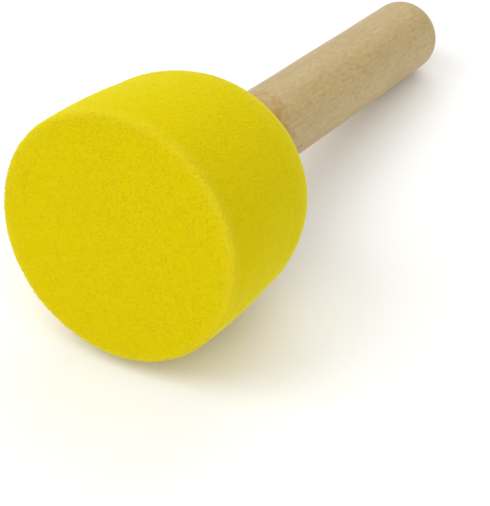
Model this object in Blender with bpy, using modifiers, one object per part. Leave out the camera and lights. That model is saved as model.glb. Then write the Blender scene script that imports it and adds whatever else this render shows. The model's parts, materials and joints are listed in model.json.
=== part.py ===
"""Foam sponge brush: a round foam head glued on the end of a short wooden dowel.

Each piece is modelled upright on the head's own axis, with the painting face at height zero and the
handle pointing up. An empty then lays the brush down on its side, the way it rests on a table: on the
rounded back shoulder of the foam and on the rim of the handle's far end.
World +Y runs from the painting face to the handle, +Z is up, and z = 0 is the table.
"""

import math

import bmesh
import bpy

# Foam head
HEAD_DIAMETER = 0.035
HEAD_HEIGHT = 0.027
HEAD_TAPER = 0.00045  # how much smaller the radius is at the back than at the painting face
HEAD_SWELL = 0.00026  # how far the side stands out between its two ends
FACE_EDGE_RADIUS = 0.0004
SHOULDER_WIDTH = 0.0082  # rounding of the back edge, across the head
SHOULDER_HEIGHT = 0.0111  # rounding of the back edge, along the head

# Wooden handle
HANDLE_DIAMETER = 0.012
HANDLE_SHOWING = 0.0633  # length that stands out of the foam
HANDLE_END_RADIUS = 0.0029
HANDLE_TIP_CHAMFER = 0.0008
HANDLE_TO_SIDE = -0.0007  # the handle is set by hand, a little off the head's centre
HANDLE_TO_TOP = 0.0009

# Glue joint
FOAM_UNDER_HANDLE = 0.0095  # foam left between the bottom of the glued hole and the painting face
GLUE_THICKNESS = 0.0006
GLUE_LIP_RADIUS = 0.00025
FIT_GAP = 0.0003

# Fineness of the surfaces. An even number that is not a multiple of four puts a flat side down.
HEAD_SIDES = 66
HANDLE_SIDES = 50
SIDE_STEPS = 6
SHOULDER_STEPS = 9
EDGE_STEPS = 3
END_STEPS = 7
MERGE_DISTANCE = 0.00001
SHARP_ANGLE = math.radians(35)

# What follows from the sizes above
HEAD_RADIUS = HEAD_DIAMETER / 2
BACK_RADIUS = HEAD_RADIUS - HEAD_TAPER
HANDLE_RADIUS = HANDLE_DIAMETER / 2
GLUE_INNER_RADIUS = HANDLE_RADIUS + FIT_GAP
GLUE_OUTER_RADIUS = GLUE_INNER_RADIUS + GLUE_THICKNESS
HOLE_RADIUS = GLUE_OUTER_RADIUS + FIT_GAP
HOLE_BOTTOM = FOAM_UNDER_HANDLE
GLUE_BOTTOM = HOLE_BOTTOM + FIT_GAP
GLUE_FLOOR = GLUE_BOTTOM + GLUE_THICKNESS
HANDLE_BOTTOM = GLUE_FLOOR + FIT_GAP
HANDLE_TOP = HEAD_HEIGHT + HANDLE_SHOWING

FOAM_YELLOW = (0.74, 0.62, 0.006, 1.0)
BIRCH = (0.61, 0.48, 0.24, 1.0)
GLUE_AMBER = (0.62, 0.47, 0.20, 1.0)


def arc(centre, radii, start, end, steps):
    """Points (radius, height) on an elliptical arc, angles in degrees from the outward direction."""
    points = []
    for step in range(steps + 1):
        angle = math.radians(start + (end - start) * step / steps)
        points.append((centre[0] + radii[0] * math.cos(angle), centre[1] + radii[1] * math.sin(angle)))
    return points


def head_profile():
    """Outline of the solid foam head, from the middle of its back, down its side, to its face."""
    side_top = HEAD_HEIGHT - SHOULDER_HEIGHT
    side_bottom = FACE_EDGE_RADIUS
    shoulder_centre = (BACK_RADIUS - SHOULDER_WIDTH, side_top)
    points = [(0.0, HEAD_HEIGHT)]
    points += arc(shoulder_centre, (SHOULDER_WIDTH, SHOULDER_HEIGHT), 90, 0, SHOULDER_STEPS)
    for step in range(1, SIDE_STEPS):
        share = 1 - step / SIDE_STEPS
        radius = HEAD_RADIUS - HEAD_TAPER * share + 4 * HEAD_SWELL * share * (1 - share)
        points.append((radius, side_bottom + (side_top - side_bottom) * share))
    edge_centre = (HEAD_RADIUS - FACE_EDGE_RADIUS, FACE_EDGE_RADIUS)
    points += arc(edge_centre, (FACE_EDGE_RADIUS, FACE_EDGE_RADIUS), 0, -90, EDGE_STEPS)
    points.append((0.0, 0.0))
    return points


def hole_profile():
    """Outline of the blind hole, carried on past the back of the head so that it cuts clean through."""
    above = HEAD_HEIGHT + HANDLE_SHOWING / 4
    return [(0.0, above), (HOLE_RADIUS, above), (HOLE_RADIUS, HOLE_BOTTOM), (0.0, HOLE_BOTTOM)]


def glue_profile():
    """Outline of the glue: a thin cup round the sunk end of the handle, with a rounded lip at its mouth."""
    lip_height = HEAD_HEIGHT - GLUE_LIP_RADIUS
    points = [(0.0, GLUE_FLOOR), (GLUE_INNER_RADIUS, GLUE_FLOOR)]
    inner_lip = (GLUE_INNER_RADIUS + GLUE_LIP_RADIUS, lip_height)
    outer_lip = (GLUE_OUTER_RADIUS - GLUE_LIP_RADIUS, lip_height)
    points += arc(inner_lip, (GLUE_LIP_RADIUS, GLUE_LIP_RADIUS), 180, 90, EDGE_STEPS)
    points += arc(outer_lip, (GLUE_LIP_RADIUS, GLUE_LIP_RADIUS), 90, 0, EDGE_STEPS)
    points += [(GLUE_OUTER_RADIUS, GLUE_BOTTOM), (0.0, GLUE_BOTTOM)]
    return points


def handle_profile():
    """Outline of the dowel: a rounded far end with a small flat, and a chamfered end in the glue."""
    end_centre = (HANDLE_RADIUS - HANDLE_END_RADIUS, HANDLE_TOP - HANDLE_END_RADIUS)
    points = [(0.0, HANDLE_TOP)]
    points += arc(end_centre, (HANDLE_END_RADIUS, HANDLE_END_RADIUS), 90, 0, END_STEPS)
    points.append((HANDLE_RADIUS, HANDLE_BOTTOM + HANDLE_TIP_CHAMFER))
    points.append((HANDLE_RADIUS - HANDLE_TIP_CHAMFER, HANDLE_BOTTOM))
    points.append((0.0, HANDLE_BOTTOM))
    return points


def depth_of_head(tilt):
    """How far the head reaches below its own origin when its axis dips by this tilt."""
    flat_side = math.cos(math.pi / HEAD_SIDES)
    across = math.cos(tilt) * flat_side
    along = math.sin(tilt)
    centre = (BACK_RADIUS - SHOULDER_WIDTH) * across + (HEAD_HEIGHT - SHOULDER_HEIGHT) * along
    return centre + math.hypot(SHOULDER_WIDTH * across, SHOULDER_HEIGHT * along)


def depth_of_handle(tilt):
    """How far the far end of the handle reaches below the head's origin at the same tilt."""
    flat_side = math.cos(math.pi / HANDLE_SIDES)
    across = math.cos(tilt)
    along = math.sin(tilt)
    centre = (HANDLE_RADIUS - HANDLE_END_RADIUS) * flat_side * across
    centre += (HANDLE_TOP - HANDLE_END_RADIUS) * along - HANDLE_TO_TOP * across
    return centre + HANDLE_END_RADIUS * math.hypot(flat_side * across, along)


def resting_tilt():
    """The tilt at which the shoulder of the head and the end of the handle touch the table together."""
    low = 0.0
    high = math.radians(60)
    for _ in range(50):
        middle = (low + high) / 2
        if depth_of_handle(middle) < depth_of_head(middle):
            low = middle
        else:
            high = middle
    return (low + high) / 2


def resting_place(tilt):
    """Where the head's origin goes, so that the brush stands on z = 0 with its box centred on the origin."""
    edge = FACE_EDGE_RADIUS
    flat_side = math.cos(math.pi / HEAD_SIDES)
    front = edge * math.cos(tilt) - (HEAD_RADIUS - edge) * flat_side * math.sin(tilt) - edge
    end_centre = HANDLE_TOP - HANDLE_END_RADIUS
    end_side = HANDLE_RADIUS - HANDLE_END_RADIUS + HANDLE_TO_TOP
    back = end_centre * math.cos(tilt) + end_side * math.sin(tilt) + HANDLE_END_RADIUS
    return (0.0, -(front + back) / 2, depth_of_head(tilt))


def new_collection(name):
    collection = bpy.data.collections.new(name)
    bpy.context.scene.collection.children.link(collection)
    return collection


def new_material(name, colour, roughness):
    material = bpy.data.materials.new(name)
    material.use_nodes = True
    shader = material.node_tree.nodes["Principled BSDF"]
    shader.inputs["Base Color"].default_value = colour
    shader.inputs["Roughness"].default_value = roughness
    shader.inputs["Metallic"].default_value = 0.0
    material.diffuse_color = colour
    return material


def turned(name, profile, sides, collection, parent, place=(0.0, 0.0)):
    """A body turned about Z from an outline that runs down its outer side."""
    mesh = bpy.data.meshes.new(name)
    outline = bmesh.new()
    corners = [outline.verts.new((radius, 0.0, height)) for radius, height in profile]
    for first, second in zip(corners, corners[1:]):
        outline.edges.new((first, second))
    outline.to_mesh(mesh)
    outline.free()
    body = bpy.data.objects.new(name, mesh)
    collection.objects.link(body)
    body.parent = parent
    body.location = (place[0], place[1], 0.0)
    screw = body.modifiers.new("turn", "SCREW")
    screw.axis = "Z"
    screw.angle = math.tau
    screw.steps = sides
    screw.render_steps = sides
    screw.use_merge_vertices = True
    screw.merge_threshold = MERGE_DISTANCE
    screw.use_smooth_shade = True
    return body


def cut(body, cutter):
    """Takes the cutter's shape out of the body."""
    boolean = body.modifiers.new("cut", "BOOLEAN")
    boolean.operation = "DIFFERENCE"
    boolean.solver = "EXACT"
    boolean.object = cutter


def apply_modifiers(body):
    """Makes the evaluated shape the body's own mesh, shaded smooth except over its edges."""
    graph = bpy.context.evaluated_depsgraph_get()
    mesh = bpy.data.meshes.new_from_object(body.evaluated_get(graph), depsgraph=graph)
    body.modifiers.clear()
    body.data = mesh
    mesh.name = body.name
    mesh.shade_smooth()
    mesh.set_sharp_from_angle(angle=SHARP_ANGLE)


def handle_place():
    """The handle's axis in the upright frame, whose -Y side turns to the top when the brush lies down."""
    return (HANDLE_TO_SIDE, -HANDLE_TO_TOP)


def build_sponge_head(parts, cutters, stand):
    head = turned("sponge_head", head_profile(), HEAD_SIDES, parts, stand)
    hole = turned("handle_hole_cutter", hole_profile(), HANDLE_SIDES, cutters, stand, handle_place())
    hole.hide_render = True
    hole.display_type = "WIRE"
    cut(head, hole)
    head.data.materials.append(new_material("yellow_foam", FOAM_YELLOW, 0.95))
    return head


def build_glue_bond(parts, stand):
    glue = turned("glue_bond", glue_profile(), HANDLE_SIDES, parts, stand, handle_place())
    glue.data.materials.append(new_material("cured_glue", GLUE_AMBER, 0.35))
    return glue


def build_handle(parts, stand):
    handle = turned("handle", handle_profile(), HANDLE_SIDES, parts, stand, handle_place())
    handle.data.materials.append(new_material("birch_dowel", BIRCH, 0.6))
    return handle


def lay_down(stand):
    """Turns the upright brush so that its handle points along +Y and dips by the resting tilt."""
    tilt = resting_tilt()
    stand.rotation_euler = (-(math.pi / 2 + tilt), 0.0, 0.0)
    stand.location = resting_place(tilt)


def main():
    for old in list(bpy.data.objects):
        bpy.data.objects.remove(old, do_unlink=True)
    parts = new_collection("foam_sponge_brush")
    cutters = new_collection("cutters")
    stand = bpy.data.objects.new("lying_frame", None)
    parts.objects.link(stand)
    lay_down(stand)
    pieces = [
        build_sponge_head(parts, cutters, stand),
        build_glue_bond(parts, stand),
        build_handle(parts, stand),
    ]
    bpy.context.view_layer.update()
    for piece in pieces:
        apply_modifiers(piece)


main()
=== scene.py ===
"""Foam sponge brush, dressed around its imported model: open-cell foam, turned birch and cured glue.

Each piece is shaped upright, painting face at height zero and handle up, and is then laid down with
LYING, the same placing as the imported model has. LYING comes from the model's own mounts and joint.
Upright shapes are in metres, and patterns in materials read upright places in millimetres.
"""

import json
import math
import random

import bmesh
import bpy
import numpy as np
from bpy.props import FloatProperty, FloatVectorProperty, IntProperty, PointerProperty
from mathutils import Matrix, Vector, noise


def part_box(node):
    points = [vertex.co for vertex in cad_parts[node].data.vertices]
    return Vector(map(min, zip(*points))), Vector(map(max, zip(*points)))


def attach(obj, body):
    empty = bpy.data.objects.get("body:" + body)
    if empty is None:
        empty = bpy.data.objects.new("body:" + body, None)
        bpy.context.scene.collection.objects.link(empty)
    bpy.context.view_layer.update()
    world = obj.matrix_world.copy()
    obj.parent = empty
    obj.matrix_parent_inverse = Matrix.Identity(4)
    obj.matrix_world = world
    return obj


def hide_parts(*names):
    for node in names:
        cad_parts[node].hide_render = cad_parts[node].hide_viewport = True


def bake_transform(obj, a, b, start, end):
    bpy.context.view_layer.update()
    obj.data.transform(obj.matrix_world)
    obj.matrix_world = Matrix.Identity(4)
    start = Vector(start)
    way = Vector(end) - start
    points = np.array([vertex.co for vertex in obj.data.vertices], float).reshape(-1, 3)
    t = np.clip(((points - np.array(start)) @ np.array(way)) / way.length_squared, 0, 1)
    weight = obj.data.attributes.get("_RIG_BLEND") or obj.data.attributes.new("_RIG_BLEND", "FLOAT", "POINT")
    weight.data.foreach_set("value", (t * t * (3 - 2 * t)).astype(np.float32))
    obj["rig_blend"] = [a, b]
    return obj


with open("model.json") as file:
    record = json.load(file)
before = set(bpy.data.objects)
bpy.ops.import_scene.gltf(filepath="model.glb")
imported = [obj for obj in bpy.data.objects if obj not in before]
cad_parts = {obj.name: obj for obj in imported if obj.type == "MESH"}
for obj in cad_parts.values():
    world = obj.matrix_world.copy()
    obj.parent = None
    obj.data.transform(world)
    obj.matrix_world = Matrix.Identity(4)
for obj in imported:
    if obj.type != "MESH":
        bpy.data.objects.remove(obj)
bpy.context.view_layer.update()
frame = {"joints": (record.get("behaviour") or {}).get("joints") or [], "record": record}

bl_info = {
    "name": "Foam Sponge Brush",
    "version": (1, 0, 0),
    "blender": (4, 5, 0),
    "location": "3D View > Sidebar > Foam Brush",
    "description": "Builds the foam head, the birch handle and the glue of a small sponge brush",
    "category": "Add Mesh",
}

MM = 0.001
FOAM_BODY = "foam_body"
HANDLE_BODY = "handle_body"

# All shapes
FLOOR_GAP = 0.01 * MM  # lowest height of anything that rests on the floor
SLUMP_HEIGHT = 3.0 * MM  # the foam settles below this height over the floor
MERGE_DISTANCE = 0.002 * MM

# The foam's outline
HOLE_LIP = 0.35 * MM  # rounding of the foam at the mouth of its hole
HOLE_WEIGHT = 0.12  # share of triangles in the hidden hole, against 1 on the open surface
RIM_WEIGHT = 1.3  # extra share of triangles at the face's edge
RIM_REACH = 1.1 * MM  # how far the fine triangles and the painted highlight reach from the face's edge
RIM_HIGHLIGHT = 0.32  # share of the paler colour painted as a highlight at the face's edge
SIDE_OVAL = 0.25 * MM
SIDE_OVAL_TURN = math.radians(12.7)
SIDE_CORNERS = (0.04, 0.10)  # at the face, and added towards the back, in millimetres
SIDE_CORNERS_TURN = math.radians(29.0)
SIDE_RIPPLE = 0.04 * MM
SIDE_RIPPLE_TWIST = math.radians(12.0)

# The foam's surface
PORE_EDGE, PORE_MIDDLE = 0.03, 0.42  # how much farther off the second nearest centre is, in cells
FACE_HEIGHT = 0.2 * MM  # what lies below this height belongs to the painting face
FACE_FADE_HEIGHT = 1.2 * MM  # where the face's deeper cells have faded to the side's
SIDE_CELL_DEPTH, FACE_CELL_EXTRA = 0.7, 0.3  # shares of the pore depth
DRIFT_WIDTH = 3.1  # width of a soft drift of deeper cells, in cells
DRIFT_SHARE = 0.55
BUMP_WIDTH = 3.2 * MM
BUMP_HEIGHT = 0.05 * MM
SURFACE_LIFT = 0.045 * MM  # makes up for what the cells cut away

# Frays: chances for one face of the mesh, and reaches as shares of the fray length
FRAY_SEED = 7
FRAY_RIM_REACH = 0.7 * MM  # how far the denser frays reach from the face's edge
FRAY_HOLE_GAP = 1.0 * MM  # ring round the hole without frays, and a height over the whole face
FACE_FRAYS, FACE_FRAYS_AT_EDGE = 0.045, 0.11
SIDE_FRAYS, SIDE_FRAYS_AT_EDGE, SIDE_FRAYS_LOST_AT_BACK = 0.03, 0.07, 0.02
FACE_FRAY_REACH, FACE_FRAY_REACH_AT_EDGE = 0.42, 0.5
SIDE_FRAY_REACH, SIDE_FRAY_REACH_AT_EDGE = 0.35, 0.35
FRAY_SHORTEST = 0.25
FRAY_PORE_LIMIT = 0.9  # frays stand on strands: most pore that a face's three corners add up to
FRAY_ROOT, FRAY_TIP = 0.45, 0.4  # width of a root against its face, and of a tip against its root
FRAY_LEAN = 0.9
# Painted highlight on the frays: its share, and what a fray's reach adds to it
FRAY_HIGHLIGHT, FRAY_HIGHLIGHT_BY_REACH = 0.35, 0.5

# The handle and the glue
HANDLE_SIDES = 220
GRAIN_WIDTH, GRAIN_LENGTH = 0.45 * MM, 9.0 * MM
WAVE_WIDTH, WAVE_LENGTH = 5.0 * MM, 16.0 * MM
GRAIN_RISE, WAVE_RISE = 0.012, 0.05  # in millimetres
GLUE_SIDES = 120
GLUE_TO_WOOD = 0.03 * MM
GLUE_TO_FOAM = 0.06 * MM
GLUE_OVER_HOLE_BOTTOM = 0.25 * MM
GLUE_LIP_DEPTH = 0.1 * MM  # how far the bead starts below the foam's back
GLUE_LUMPS = 2.0  # lumps of the bead to a radian
GLUE_LUMP_LEVEL = 0.3  # where the noise is cut
GLUE_LUMP_RISE = 0.8  # share by which a lump raises the bead

# Patterns: how much longer than wide, and second colours, linear
FIGURE_STRETCH = 3.2
GRAIN_STRETCH = 16.0
PITH_STRETCH = 11.0
FOAM_DRIFT = (0.663, 0.511, 0.001)
WOOD_WARM = (0.524, 0.370, 0.138)
WOOD_FLECK = (0.425, 0.295, 0.102)
WOOD_PALE = (0.570, 0.445, 0.228)
WOOD_PITH = (0.281, 0.159, 0.056)
WOOD_RING = (0.393, 0.252, 0.094)
GLUE_CLOUD = (0.66, 0.47, 0.17)
GLUE_BUBBLE = (0.85, 0.75, 0.5)

# Stage, in metres apart from the sensor, which is in millimetres
FLOOR_HALF_WIDTH = 6.0
KEY_PLACE = (-0.45, 0.35, -0.45)  # along the view's right, up and forward, from the brush
FRONT_PLACE = (0.0, 0.1, -0.6)
BACK_PLACE = (-0.15, 0.45, 0.45)  # along the scene's own axes, from the brush
KEY_SIZE = 0.5
FILL_SIZE = 0.6
SENSOR_WIDTH = 36.0


def mount_place(name):
    """A mount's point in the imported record."""
    return Vector(next(m["pos_m"] for m in frame["record"]["mounts"] if m["name"] == name))


def lying_matrix(origin, axis):
    """The placing that turns an upright piece's +Z to the axis and keeps its X level."""
    across = Vector((1.0, 0.0, 0.0))
    turn = Matrix((across, axis.cross(across), axis)).transposed().to_4x4()
    return Matrix.Translation(origin) @ turn


AXIS = Vector(frame["joints"][0]["axis"]).normalized()
LYING = lying_matrix(mount_place("painting_face"), AXIS)
HANDLE_END = LYING.inverted() @ mount_place("handle_end")
HEAD_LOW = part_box("sponge_head")[0]
HANDLE_LOW, HANDLE_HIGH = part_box("handle")
HANDLE_RADIUS = (HANDLE_HIGH.x - HANDLE_LOW.x) / 2


# ---------------------------------------------------------------- sizes and colours


class FoamBrushFoam(bpy.types.PropertyGroup):
    """The foam head."""

    face_radius: FloatProperty(
        name="Face radius", description="Radius of the painting face",
        default=17.57 * MM, unit="LENGTH")
    height: FloatProperty(
        name="Height", description="From the painting face to the back",
        default=27.0 * MM, unit="LENGTH")
    taper: FloatProperty(
        name="Taper", description="How much smaller the back radius is",
        default=0.45 * MM, unit="LENGTH")
    swell: FloatProperty(
        name="Swell", description="How far the side stands out halfway",
        default=0.26 * MM, unit="LENGTH")
    edge: FloatProperty(
        name="Face edge", description="Softness of the face's cut edge",
        default=0.65 * MM, unit="LENGTH")
    shoulder_width: FloatProperty(
        name="Shoulder width", description="Back rounding across the head",
        default=8.2 * MM, unit="LENGTH")
    shoulder_height: FloatProperty(
        name="Shoulder height", description="Back rounding along the head",
        default=11.1 * MM, unit="LENGTH")
    hole_radius: FloatProperty(
        name="Hole radius", description="Radius of the glued hole",
        default=6.75 * MM, unit="LENGTH")
    hole_bottom: FloatProperty(
        name="Foam under hole", description="Foam left under the hole",
        default=9.5 * MM, unit="LENGTH")
    slump: FloatProperty(
        name="Slump", description="How far the underside settles on the floor",
        default=0.4 * MM, unit="LENGTH")
    cell: FloatProperty(
        name="Cell size", description="Width of one foam cell", default=0.46 * MM, unit="LENGTH")
    pore_depth: FloatProperty(
        name="Pore depth", description="How deep an open cell reaches in",
        default=0.088 * MM, unit="LENGTH")
    fray_length: FloatProperty(
        name="Fray length", description="Longest cut strand of foam",
        default=0.42 * MM, unit="LENGTH")
    cuts: IntProperty(
        name="Cuts", description="Fineness of the foam's surface",
        default=20, min=2, max=24)
    strand_colour: FloatVectorProperty(
        name="Strands", description="Colour of the foam's strands",
        default=(0.651, 0.529, 0.003), subtype="COLOR")
    # Paler colour painted as a highlight at the face's edge and on the frays.
    highlight_colour: FloatVectorProperty(
        name="Frays", description="Colour of the thin cut strands",
        default=(0.706, 0.606, 0.032), subtype="COLOR")
    # Darker, deeper yellow colour painted as shade inside the open cells.
    pore_shade_colour: FloatVectorProperty(
        name="Pores", description="Colour inside the open cells",
        default=(0.624, 0.498, 0.001), subtype="COLOR")


class FoamBrushHandle(bpy.types.PropertyGroup):
    """The birch dowel."""

    end_round: FloatProperty(
        name="End rounding", description="Rounding of the far end",
        default=2.9 * MM, unit="LENGTH")
    bottom: FloatProperty(
        name="Sunk end", description="Height of the sunk end over the face",
        default=10.7 * MM, unit="LENGTH")
    chamfer: FloatProperty(
        name="Chamfer", description="Chamfer of the sunk end", default=0.8 * MM, unit="LENGTH")
    colour: FloatVectorProperty(
        name="Wood", description="Main colour of the birch",
        default=(0.512, 0.381, 0.168), subtype="COLOR")
    grain_colour: FloatVectorProperty(
        name="Grain", description="Colour of the darker grain",
        default=(0.420, 0.300, 0.118), subtype="COLOR")
    # The band next to the foam is partly glue soaked into the wood and partly painted shade and bounce light
    # from the yellow foam.
    stain_and_shade_full: FloatProperty(
        name="Full stain", description="Height over the face up to which the stain is full",
        default=36.4 * MM, unit="LENGTH")
    stain_and_shade_end: FloatProperty(
        name="Stain end", description="Height over the face where the stain has faded out",
        default=40.2 * MM, unit="LENGTH")
    stain_and_shade_colour: FloatVectorProperty(
        name="Stain", description="Glue stain next to the foam",
        default=(0.425, 0.252, 0.053), subtype="COLOR")


class FoamBrushGlue(bpy.types.PropertyGroup):
    """The glue round the handle."""

    wall: FloatProperty(
        name="Glue wall", description="Thickness of the glue in the hole",
        default=0.6 * MM, unit="LENGTH")
    bead: FloatProperty(
        name="Bead", description="Radius of the bead squeezed out at the mouth",
        default=0.55 * MM, unit="LENGTH")
    colour: FloatVectorProperty(
        name="Glue", description="Colour of the cured glue",
        default=(0.55, 0.34, 0.085), subtype="COLOR")


class FoamBrushStage(bpy.types.PropertyGroup):
    """The floor, the lights and the camera."""

    floor_colour: FloatVectorProperty(
        name="Floor", description="Colour of the floor",
        default=(0.96, 0.96, 0.96), subtype="COLOR")
    ambient: FloatProperty(
        name="Ambient", description="Strength of the even white light",
        default=0.55)
    key: FloatProperty(
        name="Key light", description="Power of the soft light from the left",
        default=1.69)
    front: FloatProperty(
        name="Front light", description="Power of the soft light over the camera",
        default=1.32)
    back: FloatProperty(
        name="Back light", description="Power of the soft light above and behind",
        default=1.27)
    azimuth: FloatProperty(
        name="Azimuth", description="Camera's turn round the brush",
        default=math.radians(30.5), subtype="ANGLE")
    elevation: FloatProperty(
        name="Elevation", description="Camera's height angle",
        default=math.radians(37.84), subtype="ANGLE")
    lens: FloatProperty(
        name="Lens", description="Focal length in mm on a 36 mm sensor",
        default=113.8)
    aside: FloatProperty(
        name="Aside", description="How far left of the view's middle the face is",
        default=16.66 * MM, unit="LENGTH")
    above: FloatProperty(
        name="Above", description="How far over the view's middle the face is",
        default=1.63 * MM, unit="LENGTH")
    distance: FloatProperty(
        name="Distance", description="From the camera to the painting face",
        default=203.6 * MM, unit="LENGTH")


# ---------------------------------------------------------------- helpers for shapes


def arc(centre, radii, start, end, steps=24):
    """Points (radius, height) on an elliptical arc; angles are in degrees from outward."""
    angles = [math.radians(start + (end - start) * i / steps) for i in range(steps + 1)]
    (middle, level), (wide, high) = centre, radii
    return [(middle + wide * math.cos(a), level + high * math.sin(a)) for a in angles]


def straight(first, second, steps=24):
    """Evenly spaced points between two points, without the first."""
    (radius, height), (end_radius, end_height) = first, second
    wide, high = end_radius - radius, end_height - height
    return [(radius + wide * i / steps, height + high * i / steps) for i in range(1, steps + 1)]


def smooth_step(low, high, values):
    """0 below low, 1 above high, and smooth between them."""
    share = np.clip((values - low) / (high - low), 0.0, 1.0)
    return share * share * (3.0 - 2.0 * share)


def fine_ball(level, cuts):
    """A ball of nearly even triangles, as a mesh."""
    ball = bmesh.new()
    bmesh.ops.create_icosphere(ball, subdivisions=level, radius=1.0)
    if cuts:
        bmesh.ops.subdivide_edges(ball, edges=ball.edges[:], cuts=cuts, use_grid_fill=True)
    bmesh.ops.recalc_face_normals(ball, faces=ball.faces[:])
    mesh = bpy.data.meshes.new("ball")
    ball.to_mesh(mesh)
    ball.free()
    return mesh


def read_points(mesh):
    """A mesh's points as rows of x, y and z."""
    points = np.empty(len(mesh.vertices) * 3, np.float32)
    mesh.vertices.foreach_get("co", points)
    return points.reshape(-1, 3).astype(float)


def write_points(mesh, points):
    """Puts rows of x, y and z back in a mesh."""
    mesh.vertices.foreach_set("co", points.astype(np.float32).ravel())
    mesh.update()


def read_normals(mesh):
    """The outward direction at each point of a mesh."""
    normals = np.empty(len(mesh.vertices) * 3, np.float32)
    mesh.vertex_normals.foreach_get("vector", normals)
    return normals.reshape(-1, 3).astype(float)


def wrap_ball(mesh, outline, weights):
    """Draws a ball over a turned outline that runs from its top pole to its bottom pole.

    Each stretch of outline gets a share of the ball's surface that goes with its own area times its
    weight, so the triangles stay even over the whole piece. Returns each point's radius, turn and
    height, and its place along the outline, counted in outline points.
    """
    points = read_points(mesh)
    points /= np.linalg.norm(points, axis=1)[:, None]
    line = np.array(outline)
    steps = np.linalg.norm(np.diff(line, axis=0), axis=1)
    middle_radius = (line[:-1, 0] + line[1:, 0]) / 2
    area = np.concatenate([[0.0], np.cumsum(steps * middle_radius * np.array(weights))])
    place = np.interp((1.0 - points[:, 2]) / 2 * area[-1], area, np.arange(len(line)))
    radius = np.interp(place, np.arange(len(line)), line[:, 0])
    height = np.interp(place, np.arange(len(line)), line[:, 1])
    # Near a pole the radius grows with the root of the area: a straight reading would dent it.
    last = len(line) - 1
    top, bottom = place < 1, place > last - 1
    radius[top] = line[1, 0] * np.sqrt(place[top])
    radius[bottom] = line[last - 1, 0] * np.sqrt(last - place[bottom])
    turn = np.arctan2(points[:, 1], points[:, 0])
    return radius, turn, height, place


def turned(outline, sides):
    """A closed shape spun from an outline that starts and ends on the axis, as a bmesh."""
    spun = bmesh.new()
    corners = [spun.verts.new((radius, 0.0, height)) for radius, height in outline]
    edges = [spun.edges.new(pair) for pair in zip(corners, corners[1:])]
    bmesh.ops.spin(
        spun, geom=corners + edges, cent=(0, 0, 0), axis=(0, 0, 1), angle=math.tau, steps=sides,
        use_merge=True)
    bmesh.ops.remove_doubles(spun, verts=spun.verts[:], dist=MERGE_DISTANCE)
    bmesh.ops.recalc_face_normals(spun, faces=spun.faces[:])
    return spun


def on_handle_axis(spun, name):
    """A turned bmesh as a mesh on the handle's own axis."""
    mesh = bpy.data.meshes.new(name)
    spun.to_mesh(mesh)
    spun.free()
    mesh.transform(Matrix.Translation((HANDLE_END.x, HANDLE_END.y, 0.0)))
    return mesh


def lay_down(mesh, slump=0.0):
    """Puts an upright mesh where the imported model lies, and keeps it above the floor.

    A soft piece also slumps: its lowest part settles by the given amount and is pressed flat.
    """
    mesh.transform(LYING)
    points = read_points(mesh)
    points[:, 2] -= slump * smooth_step(SLUMP_HEIGHT, 0.0, points[:, 2])
    points[:, 2] = np.maximum(points[:, 2], FLOOR_GAP)
    write_points(mesh, points)


def new_piece(name, mesh, material):
    """A finished piece: object at the origin, its place in its mesh, shaded smooth."""
    mesh.name = name
    mesh.materials.clear()
    mesh.materials.append(material)
    mesh.shade_smooth()
    piece = bpy.data.objects.new(name, mesh)
    bpy.context.scene.collection.objects.link(piece)
    return piece


# ---------------------------------------------------------------- helpers for materials


class Nodes:
    """A short way to add and join shader nodes."""

    def __init__(self, name):
        self.material = bpy.data.materials.new(name)
        self.material.use_nodes = True
        self.tree = self.material.node_tree
        self.shader = self.tree.nodes["Principled BSDF"]

    def set(self, socket, value):
        """Sets an even value on the shader's own socket."""
        self.shader.inputs[socket].default_value = value

    def add(self, kind, inputs=None, **settings):
        """A new node; an input that is another node's socket is joined, and any other is set."""
        node = self.tree.nodes.new(kind)
        for key, value in settings.items():
            setattr(node, key, value)
        for socket, value in (inputs or {}).items():
            if isinstance(value, bpy.types.NodeSocket):
                self.tree.links.new(value, node.inputs[socket])
            else:
                node.inputs[socket].default_value = value
        return node

    def join(self, output, socket):
        """Joins an output to one of the shader's sockets."""
        self.tree.links.new(output, self.shader.inputs[socket])

    def upright_place(self, stretch=(1.0, 1.0, 1.0)):
        """Object coordinates turned back to the upright piece, in millimetres, over a stretch."""
        place = self.add("ShaderNodeTexCoord").outputs["Object"]
        lying = {0: place, "Location": LYING.translation, "Rotation": LYING.to_euler()}
        turn = self.add("ShaderNodeMapping", lying, vector_type="TEXTURE")
        scale = [1.0 / (MM * s) for s in stretch]
        return self.add("ShaderNodeMapping", {0: turn.outputs[0], "Scale": scale}).outputs[0]

    def noise(self, place, scale, detail=3.0, roughness=0.5, distortion=0.0):
        """Soft noise from 0 to 1; scale is in bumps per unit of the place."""
        inputs = {"Vector": place, "Scale": scale, "Detail": detail, "Roughness": roughness}
        inputs["Distortion"] = distortion
        return self.add("ShaderNodeTexNoise", inputs).outputs["Fac"]

    def ramp(self, value, low, high, first=0.0, second=1.0):
        """Reads a value from low to high as first to second, with soft ends."""
        inputs = {0: value, "From Min": low, "From Max": high, "To Min": first, "To Max": second}
        return self.add("ShaderNodeMapRange", inputs, interpolation_type="SMOOTHSTEP").outputs[0]

    def times(self, first, second):
        """The product of two values."""
        return self.add("ShaderNodeMath", {0: first, 1: second}, operation="MULTIPLY").outputs[0]

    def mix(self, share, first, second, blend="MIX"):
        """A colour between two colours; each of the three may be a socket or a plain value."""
        node = self.add("ShaderNodeMix", data_type="RGBA", blend_type=blend)
        for socket, value in ((0, share), (6, first), (7, second)):
            if isinstance(value, bpy.types.NodeSocket):
                self.tree.links.new(value, node.inputs[socket])
            elif socket == 0:
                node.inputs[socket].default_value = value
            else:
                node.inputs[socket].default_value = (*value[:3], 1.0)
        return node.outputs[2]

    def bump(self, height, distance, strength):
        """Fine relief on the shader."""
        inputs = {"Height": height, "Distance": distance, "Strength": strength}
        self.join(self.add("ShaderNodeBump", inputs).outputs[0], "Normal")


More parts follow.
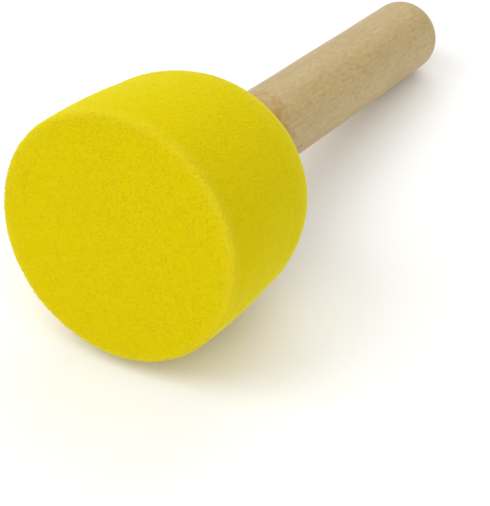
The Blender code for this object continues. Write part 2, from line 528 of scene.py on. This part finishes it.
def foam_material(foam):
    """Open-cell foam: strands over pores that are painted darker and deeper yellow as shade, a painted
    highlight at the face's edge and on the frays, with light passing through them.
    """
    nodes = Nodes("yellow_foam")
    place = nodes.upright_place()
    pore = nodes.add("ShaderNodeAttribute", attribute_name="pore").outputs["Fac"]
    # Painted shade: the deeper a point lies in a cell, the darker and deeper yellow its colour.
    base = nodes.mix(pore, foam.strand_colour, foam.pore_shade_colour)
    cloud = nodes.ramp(nodes.noise(place, 0.16, 3.0), 0.35, 0.68)
    base = nodes.mix(cloud, base, nodes.mix(0.35, base, FOAM_DRIFT))
    # The pale attribute paints a highlight: a paler colour at the face's edge and on the frays.
    pale = nodes.add("ShaderNodeAttribute", attribute_name="pale").outputs["Fac"]
    base = nodes.mix(pale, base, foam.highlight_colour)
    # Faint random mottling, skewed lighter: the light specks are painted glints on the strand tips.
    speck = nodes.ramp(nodes.noise(place, 5.5, 2.0, 0.7), 0.48, 0.72, 0.99, 1.07)
    shade = nodes.add("ShaderNodeCombineColor", {"Red": speck, "Green": speck, "Blue": speck})
    nodes.join(nodes.mix(1.0, base, shade.outputs[0], "MULTIPLY"), "Base Color")
    nodes.set("Roughness", 1.0)
    nodes.set("Specular IOR Level", 0.0)
    nodes.set("Sheen Weight", 0.12)
    nodes.set("Sheen Roughness", 0.35)
    nodes.set("Sheen Tint", (1.0, 0.97, 0.8, 1.0))
    nodes.set("Subsurface Weight", 0.8)
    nodes.set("Subsurface Radius", (1.0, 0.8, 0.12))
    nodes.set("Subsurface Scale", 0.9 * MM)
    return nodes.material


def birch_material(wood):
    """Plain sanded birch: mottled figure, fine long grain, short dark pith, and an orange-brown band next to
    the foam, partly glue stain and partly painted shade and bounce light from the yellow foam.
    """
    nodes = Nodes("birch_wood")
    place = nodes.upright_place()
    figure_place = nodes.upright_place((1.0, 1.0, FIGURE_STRETCH))
    long_place = nodes.upright_place((1.0, 1.0, GRAIN_STRETCH))
    figure = nodes.noise(figure_place, 0.85, 4.0, 0.6, 0.8)
    flecks = nodes.noise(figure_place, 2.6, 3.0, 0.62, 0.4)
    streak = nodes.noise(long_place, 1.7, 4.0, 0.6, 0.2)
    base = nodes.mix(nodes.ramp(figure, 0.36, 0.66, 0.0, 0.55), wood.colour, wood.grain_colour)
    warm = nodes.ramp(nodes.noise(figure_place, 0.32, 3.0), 0.4, 0.65, 0.0, 0.35)
    base = nodes.mix(warm, base, WOOD_WARM)
    base = nodes.mix(nodes.ramp(flecks, 0.50, 0.70, 0.0, 0.85), base, WOOD_FLECK)
    base = nodes.mix(nodes.ramp(flecks, 0.48, 0.30, 0.0, 0.5), base, WOOD_PALE)
    base = nodes.mix(nodes.ramp(streak, 0.48, 0.70, 0.0, 0.35), base, wood.grain_colour)
    pith_place = nodes.upright_place((1.0, 1.0, PITH_STRETCH))
    cells = {"Vector": pith_place, "Scale": 0.66, "Randomness": 1.0}
    pith = nodes.add("ShaderNodeTexVoronoi", cells, feature="F1").outputs[0]
    broken = nodes.ramp(nodes.noise(place, 1.4, 2.0), 0.45, 0.6)
    base = nodes.mix(nodes.times(nodes.ramp(pith, 0.05, 0.14, 0.75, 0.0), broken), base, WOOD_PITH)
    height = nodes.add("ShaderNodeSeparateXYZ", {0: place}).outputs[2]
    # Orange-brown band next to the foam: partly glue stain, partly painted shade and yellow bounce light;
    # noise makes its end ragged.
    patch = nodes.ramp(nodes.noise(place, 0.42, 4.0, 0.6, 0.5), 0.3, 0.7, -2.0, 2.0)
    ragged = nodes.add("ShaderNodeMath", {0: height, 1: patch}, operation="ADD").outputs[0]
    cloud = nodes.ramp(nodes.noise(place, 1.1, 3.0, 0.6), 0.38, 0.56, 0.45, 1.0)
    stain = nodes.ramp(ragged, wood.stain_and_shade_full / MM, wood.stain_and_shade_end / MM, 0.95, 0.0)
    stain = nodes.times(stain, cloud)
    flat = {0: place, "Location": (2.6, 4.0, 0.0), "Scale": (1.0, 1.0, 0.0)}
    across = nodes.add("ShaderNodeMapping", flat)
    waves = {0: across.outputs[0], "Scale": 0.42, "Distortion": 1.2, "Detail": 2.0}
    kind = {"wave_type": "RINGS", "rings_direction": "Z"}
    rings = nodes.add("ShaderNodeTexWave", waves, **kind).outputs["Fac"]
    on_end = nodes.ramp(height, HANDLE_END.z / MM - 0.9, HANDLE_END.z / MM - 0.1)
    ring = nodes.times(nodes.ramp(rings, 0.35, 0.95, 0.0, 0.55), on_end)
    base = nodes.mix(ring, base, WOOD_RING)
    # The band next to the foam goes over the wood: glue stain together with painted shade and bounce light.
    nodes.join(nodes.mix(stain, base, wood.stain_and_shade_colour), "Base Color")
    nodes.bump(nodes.noise(long_place, 5.0, 4.0, 0.65), 0.03 * MM, 0.4)
    nodes.set("Roughness", 0.45)
    nodes.set("Specular IOR Level", 0.5)
    nodes.set("Subsurface Weight", 0.08)
    nodes.set("Subsurface Radius", (1.0, 0.6, 0.3))
    nodes.set("Subsurface Scale", 0.4 * MM)
    return nodes.material


def glue_material(glue):
    """Cured glue: amber, cloudy, a little shiny."""
    nodes = Nodes("cured_glue")
    place = nodes.upright_place()
    cloud = nodes.ramp(nodes.noise(place, 0.8, 3.0), 0.35, 0.7)
    base = nodes.mix(cloud, glue.colour, GLUE_CLOUD)
    cells = {"Vector": place, "Scale": 2.2}
    bubbles = nodes.add("ShaderNodeTexVoronoi", cells, feature="F1").outputs[0]
    base = nodes.mix(nodes.ramp(bubbles, 0.05, 0.12, 0.6, 0.0), base, GLUE_BUBBLE)
    nodes.join(base, "Base Color")
    nodes.bump(nodes.noise(place, 1.6, 2.0), 0.08 * MM, 0.5)
    nodes.set("Roughness", 0.24)
    nodes.set("Subsurface Weight", 0.4)
    nodes.set("Subsurface Radius", (1.0, 0.6, 0.2))
    nodes.set("Subsurface Scale", 0.8 * MM)
    return nodes.material


def floor_material(stage):
    """A matt pale floor with very faint clouds."""
    nodes = Nodes("pale_floor")
    place = nodes.add("ShaderNodeTexCoord").outputs["Object"]
    cloud = nodes.ramp(nodes.noise(place, 3.0), 0.3, 0.7)
    tint = [channel * 0.985 for channel in stage.floor_colour]
    nodes.join(nodes.mix(cloud, stage.floor_colour, tint), "Base Color")
    nodes.set("Roughness", 0.9)
    nodes.set("Specular IOR Level", 0.1)
    nodes.set("Emission Color", (1.0, 1.0, 1.0, 1.0))
    nodes.set("Emission Strength", 0.03)
    return nodes.material


# ---------------------------------------------------------------- the foam head


def foam_outline(foam):
    """The foam's outline from the middle of its glued hole, over its back and side, to its face.

    Returns the outline, a weight for each stretch of it, and the place where the hole ends. The
    hole is hidden, so it gets few triangles, and the face's edge gets more.
    """
    back_radius = foam.face_radius - foam.taper
    side_top = foam.height - foam.shoulder_height
    mouth = foam.hole_radius + HOLE_LIP
    hole = [(0.0, foam.hole_bottom)]
    hole += straight(hole[-1], (foam.hole_radius, foam.hole_bottom))
    hole += straight(hole[-1], (foam.hole_radius, foam.height - HOLE_LIP))
    body = arc((mouth, foam.height - HOLE_LIP), (HOLE_LIP, HOLE_LIP), 180, 90, 8)
    shoulder_start = (back_radius - foam.shoulder_width, foam.height)
    body += straight(body[-1], shoulder_start, 12)
    shoulder = (foam.shoulder_width, foam.shoulder_height)
    body += arc((shoulder_start[0], side_top), shoulder, 90, 0, 60)[1:]
    steps = 60
    for step in range(1, steps + 1):
        share = 1 - step / steps
        radius = foam.face_radius - foam.taper * share + 4 * foam.swell * share * (1 - share)
        body.append((radius, foam.edge + (side_top - foam.edge) * share))
    edge_centre = (foam.face_radius - foam.edge, foam.edge)
    body += arc(edge_centre, (foam.edge, foam.edge), 0, -90, 10)[1:]
    body += straight(body[-1], (0.0, 0.0), 60)
    weights = [HOLE_WEIGHT] * (len(hole) - 1)
    for radius, height in body:
        to_edge = math.hypot(radius - foam.face_radius, height) / RIM_REACH
        weights.append(1.0 + RIM_WEIGHT * math.exp(-to_edge * to_edge))
    return hole + body, weights, len(hole) - 1


def out_of_round(turn, height, foam):
    """How far the cut side stands out of round: an oval, three soft corners that grow towards the
    back, and a slight ripple."""
    share = np.clip(height / foam.height, 0.0, 1.0)
    at_face, growth = SIDE_CORNERS
    oval = SIDE_OVAL * np.cos(2 * (turn + SIDE_OVAL_TURN))
    corners = (at_face + growth * share) * MM * np.cos(3 * (turn + SIDE_CORNERS_TURN))
    ripple = SIDE_RIPPLE * np.cos(5 * (turn + SIDE_RIPPLE_TWIST * share))
    return oval + corners + ripple


def foam_cells(points, foam, depth_share):
    """How deep each point lies in an open cell: 0 on a strand, 1 in the middle of a pore."""
    pore = np.empty(len(points))
    scaled = points / foam.cell
    for index, point in enumerate(scaled.tolist()):
        nearest, second = noise.voronoi(point)[0][:2]
        pore[index] = second - nearest
    return smooth_step(PORE_EDGE, PORE_MIDDLE, pore) * depth_share


def cell_scale(points, foam):
    """Some cells are deeper than others, in soft drifts."""
    values = [noise.noise(point) for point in (points / (foam.cell * DRIFT_WIDTH)).tolist()]
    return 1.0 + DRIFT_SHARE * np.array(values)


def low_bumps(points):
    """Soft unevenness of the cut foam."""
    values = [noise.noise(point) for point in (points / BUMP_WIDTH).tolist()]
    return BUMP_HEIGHT * np.array(values)


def foam_mesh(foam):
    """The foam head with its open cells cut into its surface, upright."""
    mesh = fine_ball(4, foam.cuts - 1)
    outline, weights, hole_end = foam_outline(foam)
    radius, turn, height, place = wrap_ball(mesh, outline, weights)
    outside = smooth_step(hole_end + 1.0, hole_end + 14.0, place)
    radius += out_of_round(turn, height, foam) * outside * np.clip(radius / foam.face_radius, 0, 1)
    to_hole = 1.0 - outside
    points = np.stack([radius * np.cos(turn), radius * np.sin(turn), height], axis=1)
    points[:, 0] += HANDLE_END.x * to_hole
    points[:, 1] += HANDLE_END.y * to_hole
    write_points(mesh, points)
    normals = read_normals(mesh)
    open_surface = smooth_step(hole_end - 0.5, hole_end + 6.0, place)
    on_face = smooth_step(FACE_FADE_HEIGHT, FACE_HEIGHT, height)
    depth_share = SIDE_CELL_DEPTH + FACE_CELL_EXTRA * on_face
    # The pore share also paints shade into the foam's colour, darker deeper in a cell.
    pore = foam_cells(points, foam, open_surface)
    depth = foam.pore_depth * pore * cell_scale(points, foam) * depth_share
    depth -= (low_bumps(points) + SURFACE_LIFT) * open_surface
    write_points(mesh, points - normals * depth[:, None])
    # pale paints a highlight into the colour, strongest at the face's edge.
    to_edge = np.hypot(radius - foam.face_radius, height) / RIM_REACH
    for name, values in (("pore", pore), ("pale", RIM_HIGHLIGHT * np.exp(-to_edge * to_edge))):
        layer = mesh.attributes.new(name, "FLOAT", "POINT")
        layer.data.foreach_set("value", values.astype(np.float32))
    return mesh


def fray_chance(face, foam):
    """How likely a cut strand stands on a face, and how far it may reach, from 0 to 1 each."""
    centre = face.calc_center_median()
    reach = centre.xy.length
    if reach < foam.hole_radius + FRAY_HOLE_GAP and centre.z > FRAY_HOLE_GAP:
        return 0.0, 0.0
    to_edge = math.hypot(reach - foam.face_radius, centre.z) / FRAY_RIM_REACH
    at_edge = math.exp(-to_edge * to_edge)
    if centre.z < FACE_HEIGHT:
        chance = FACE_FRAYS + FACE_FRAYS_AT_EDGE * at_edge
        return chance, FACE_FRAY_REACH + FACE_FRAY_REACH_AT_EDGE * at_edge
    on_back = min(max(centre.z / foam.height - 0.5, 0.0) * 2.0, 1.0)
    chance = SIDE_FRAYS - SIDE_FRAYS_LOST_AT_BACK * on_back + SIDE_FRAYS_AT_EDGE * at_edge
    return chance, SIDE_FRAY_REACH + SIDE_FRAY_REACH_AT_EDGE * at_edge


def grow_frays(mesh, foam):
    """Cut strands that stand up from the cell walls, grown out of the surface's own faces."""
    rng = random.Random(FRAY_SEED)
    shape = bmesh.new()
    shape.from_mesh(mesh)
    shape.faces.ensure_lookup_table()
    pore = shape.verts.layers.float["pore"]
    pale = shape.verts.layers.float["pale"]
    kept = set()
    picked = []
    reaches = []
    for face in shape.faces:
        chance, reach = fray_chance(face, foam)
        in_pore = sum(vert[pore] for vert in face.verts) > FRAY_PORE_LIMIT
        if rng.random() > chance or in_pore:
            continue
        if any(vert.index in kept for vert in face.verts):
            continue
        kept.update(vert.index for vert in face.verts)
        picked.append(face)
        reaches.append(reach)
    # Each picked face is drawn in to a thin root, and then out to a thinner, leaning tip.
    roots = bmesh.ops.extrude_discrete_faces(shape, faces=picked)["faces"]
    for face in roots:
        centre = face.calc_center_median()
        for vert in face.verts:
            vert.co = centre + (vert.co - centre) * FRAY_ROOT
    tips = bmesh.ops.extrude_discrete_faces(shape, faces=roots)["faces"]
    for face, reach in zip(tips, reaches):
        centre = face.calc_center_median()
        lean = Vector((rng.uniform(-1, 1), rng.uniform(-1, 1), rng.uniform(-1, 1))) * FRAY_LEAN
        length = foam.fray_length * reach * rng.uniform(FRAY_SHORTEST, 1.0)
        lift = (face.normal + lean).normalized() * length
        for vert in face.verts:
            vert.co = centre + (vert.co - centre) * FRAY_TIP + lift
            # Fray tips lose the painted pore shade and take a painted highlight that grows with their reach.
            vert[pore] = 0.0
            vert[pale] = FRAY_HIGHLIGHT + FRAY_HIGHLIGHT_BY_REACH * reach
    shape.to_mesh(mesh)
    shape.free()


class FOAM_BRUSH_OT_head(bpy.types.Operator):
    """Build the open-cell foam head"""

    bl_idname = "foam_brush.head"
    bl_label = "Foam Head"

    def execute(self, context):
        foam = context.scene.foam_brush_foam
        mesh = foam_mesh(foam)
        grow_frays(mesh, foam)
        lay_down(mesh, foam.slump)
        piece = new_piece("foam_head", mesh, foam_material(foam))
        face = LYING.translation
        under_handle = LYING @ Vector((0.0, 0.0, foam.hole_bottom))
        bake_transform(piece, FOAM_BODY, HANDLE_BODY, start=face, end=under_handle)
        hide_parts("sponge_head")
        return {"FINISHED"}


# ---------------------------------------------------------------- the birch handle


def handle_outline(wood):
    """The dowel's outline from the middle of its far end to the middle of its sunk end."""
    top = HANDLE_END.z
    round_centre = (HANDLE_RADIUS - wood.end_round, top - wood.end_round)
    points = [(0.0, top)]
    points += straight(points[-1], (round_centre[0], top), 12)
    points += arc(round_centre, (wood.end_round, wood.end_round), 90, 0, 24)[1:]
    points += straight(points[-1], (HANDLE_RADIUS, wood.bottom + wood.chamfer), 120)
    points += straight(points[-1], (HANDLE_RADIUS - wood.chamfer, wood.bottom), 4)
    points += straight(points[-1], (0.0, wood.bottom), 12)
    return points


def stretched_noise(spot, width, length):
    """Noise from about -1 to 1 with bumps of a width across the handle and a length along it."""
    return noise.noise((spot.x / width, spot.y / width, spot.z / length))


def handle_mesh(wood):
    """The dowel, with the slight waviness and raised grain of sanded wood."""
    spun = turned(handle_outline(wood), HANDLE_SIDES)
    for vert in spun.verts:
        spot = vert.co
        across = spot.xy.length / HANDLE_RADIUS
        grain = stretched_noise(spot, GRAIN_WIDTH, GRAIN_LENGTH)
        wave = stretched_noise(spot, WAVE_WIDTH, WAVE_LENGTH)
        swell = (GRAIN_RISE * grain + WAVE_RISE * wave) * MM * across
        vert.co += Vector((spot.x, spot.y, 0.0)).normalized() * swell
    return on_handle_axis(spun, "handle")


class FOAM_BRUSH_OT_handle(bpy.types.Operator):
    """Build the turned birch handle"""

    bl_idname = "foam_brush.handle"
    bl_label = "Birch Handle"

    def execute(self, context):
        wood = context.scene.foam_brush_handle
        mesh = handle_mesh(wood)
        lay_down(mesh)
        piece = new_piece("birch_handle", mesh, birch_material(wood))
        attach(piece, HANDLE_BODY)
        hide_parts("handle")
        return {"FINISHED"}


# ---------------------------------------------------------------- the glue


def glue_outline(glue, foam):
    """A thin cup in the hole whose lip swells into a small bead round the handle."""
    inner = HANDLE_RADIUS + GLUE_TO_WOOD
    outer = foam.hole_radius - GLUE_TO_FOAM
    floor = foam.hole_bottom + GLUE_OVER_HOLE_BOTTOM
    middle = (inner + outer) / 2
    lip = foam.height - GLUE_LIP_DEPTH
    points = [(0.0, floor + glue.wall)]
    points += straight(points[-1], (inner, floor + glue.wall), 6)
    points += straight(points[-1], (inner, lip), 10)
    points += arc((middle, lip), ((outer - inner) / 2, glue.bead), 180, 0, 16)[1:]
    points += straight(points[-1], (outer, floor), 10)
    points += straight(points[-1], (0.0, floor), 6)
    return points


def glue_mesh(glue, foam):
    """The cup of glue, its bead uneven round the handle."""
    spun = turned(glue_outline(glue, foam), GLUE_SIDES)
    lip = foam.height - GLUE_LIP_DEPTH
    for vert in spun.verts:
        over = max(0.0, vert.co.z - lip) / glue.bead
        if over:
            turn = math.atan2(vert.co.y, vert.co.x)
            around = (GLUE_LUMPS * math.cos(turn), GLUE_LUMPS * math.sin(turn), GLUE_LUMP_LEVEL)
            lump = noise.noise(around)
            vert.co.z = lip + (vert.co.z - lip) * (1.0 + GLUE_LUMP_RISE * lump)
    return on_handle_axis(spun, "glue")


class FOAM_BRUSH_OT_glue(bpy.types.Operator):
    """Build the cured glue round the sunk end of the handle"""

    bl_idname = "foam_brush.glue"
    bl_label = "Glue"

    def execute(self, context):
        glue = context.scene.foam_brush_glue
        mesh = glue_mesh(glue, context.scene.foam_brush_foam)
        lay_down(mesh)
        piece = new_piece("glue_ring", mesh, glue_material(glue))
        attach(piece, HANDLE_BODY)
        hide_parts("glue_bond")
        return {"FINISHED"}


# ---------------------------------------------------------------- the stage


def add_floor(stage):
    """A wide flat floor at height zero."""
    grid = bmesh.new()
    bmesh.ops.create_grid(grid, x_segments=8, y_segments=8, size=FLOOR_HALF_WIDTH)
    mesh = bpy.data.meshes.new("floor")
    grid.to_mesh(mesh)
    grid.free()
    new_piece("floor", mesh, floor_material(stage))


def add_soft_light(name, place, target, size, power):
    """A round soft light that looks at the target and isn't seen itself."""
    light = bpy.data.lights.new(name, "AREA")
    light.shape = "DISK"
    light.size = size
    light.energy = power
    lamp = bpy.data.objects.new(name, light)
    lamp.location = place
    lamp.rotation_euler = (target - place).to_track_quat("-Z", "Y").to_euler()
    lamp.visible_camera = False
    bpy.context.scene.collection.objects.link(lamp)


def add_world(stage):
    """Even white light from all round."""
    world = bpy.data.worlds.new("studio")
    world.use_nodes = True
    background = world.node_tree.nodes["Background"]
    background.inputs["Color"].default_value = (1.0, 1.0, 1.0, 1.0)
    background.inputs["Strength"].default_value = stage.ambient
    bpy.context.scene.world = world


def view_axes(stage):
    """The camera's right, up and forward directions, level with the horizon."""
    turn, lift = stage.azimuth, stage.elevation
    level = math.cos(lift)
    forward = Vector((-math.sin(turn) * level, math.cos(turn) * level, -math.sin(lift)))
    right = Vector((math.cos(turn), math.sin(turn), 0.0))
    return right, right.cross(forward), forward


def offset_place(start, directions, lengths):
    """The place that is reached from the start by going a length along each direction."""
    place = start
    for direction, length in zip(directions, lengths):
        place = place + direction * length
    return place


def add_camera(stage):
    """The camera, placed from the middle of the painting face."""
    right, up, forward = view_axes(stage)
    data = bpy.data.cameras.new("camera")
    data.lens = stage.lens
    data.sensor_width = SENSOR_WIDTH
    data.clip_start = 0.01
    data.clip_end = 50.0
    camera = bpy.data.objects.new("camera", data)
    lengths = (stage.aside, -stage.above, -stage.distance)
    place = offset_place(LYING.translation, (right, up, forward), lengths)
    turn = Matrix((right, up, -forward)).transposed().to_4x4()
    camera.matrix_world = Matrix.Translation(place) @ turn
    bpy.context.scene.collection.objects.link(camera)
    bpy.context.scene.camera = camera


class FOAM_BRUSH_OT_stage(bpy.types.Operator):
    """Set up the pale floor, the soft light and the camera"""

    bl_idname = "foam_brush.stage"
    bl_label = "Stage"

    def execute(self, context):
        stage = context.scene.foam_brush_stage
        context.scene.view_settings.view_transform = "Standard"
        view = view_axes(stage)
        middle = (HEAD_LOW + HANDLE_HIGH) / 2
        add_floor(stage)
        add_world(stage)
        key_place = offset_place(middle, view, KEY_PLACE)
        front_place = offset_place(middle, view, FRONT_PLACE)
        back_place = middle + Vector(BACK_PLACE)
        add_soft_light("key", key_place, middle, KEY_SIZE, stage.key)
        add_soft_light("front", front_place, middle, FILL_SIZE, stage.front)
        add_soft_light("back", back_place, middle, FILL_SIZE, stage.back)
        add_camera(stage)
        return {"FINISHED"}


# ---------------------------------------------------------------- panel and running


class FOAM_BRUSH_PT_panel(bpy.types.Panel):
    """The brush's pieces and sizes"""

    bl_label = "Foam Sponge Brush"
    bl_idname = "FOAM_BRUSH_PT_panel"
    bl_space_type = "VIEW_3D"
    bl_region_type = "UI"
    bl_category = "Foam Brush"

    def draw(self, context):
        for operator, group in PIECES:
            box = self.layout.box()
            box.operator(operator.bl_idname)
            settings = getattr(context.scene, group)
            for name in settings.__annotations__:
                box.prop(settings, name)


GROUPS = {
    "foam_brush_foam": FoamBrushFoam,
    "foam_brush_handle": FoamBrushHandle,
    "foam_brush_glue": FoamBrushGlue,
    "foam_brush_stage": FoamBrushStage,
}
PIECES = (
    (FOAM_BRUSH_OT_head, "foam_brush_foam"),
    (FOAM_BRUSH_OT_handle, "foam_brush_handle"),
    (FOAM_BRUSH_OT_glue, "foam_brush_glue"),
    (FOAM_BRUSH_OT_stage, "foam_brush_stage"),
)
CLASSES = (*GROUPS.values(), *(operator for operator, _ in PIECES), FOAM_BRUSH_PT_panel)


def register():
    for item in CLASSES:
        bpy.utils.register_class(item)
    for name, group in GROUPS.items():
        setattr(bpy.types.Scene, name, PointerProperty(type=group))


def unregister():
    for name in GROUPS:
        delattr(bpy.types.Scene, name)
    for item in reversed(CLASSES):
        bpy.utils.unregister_class(item)


def main():
    register()
    bpy.ops.foam_brush.head()
    bpy.ops.foam_brush.handle()
    bpy.ops.foam_brush.glue()
    bpy.ops.foam_brush.stage()


if __name__ == "__main__":
    main()
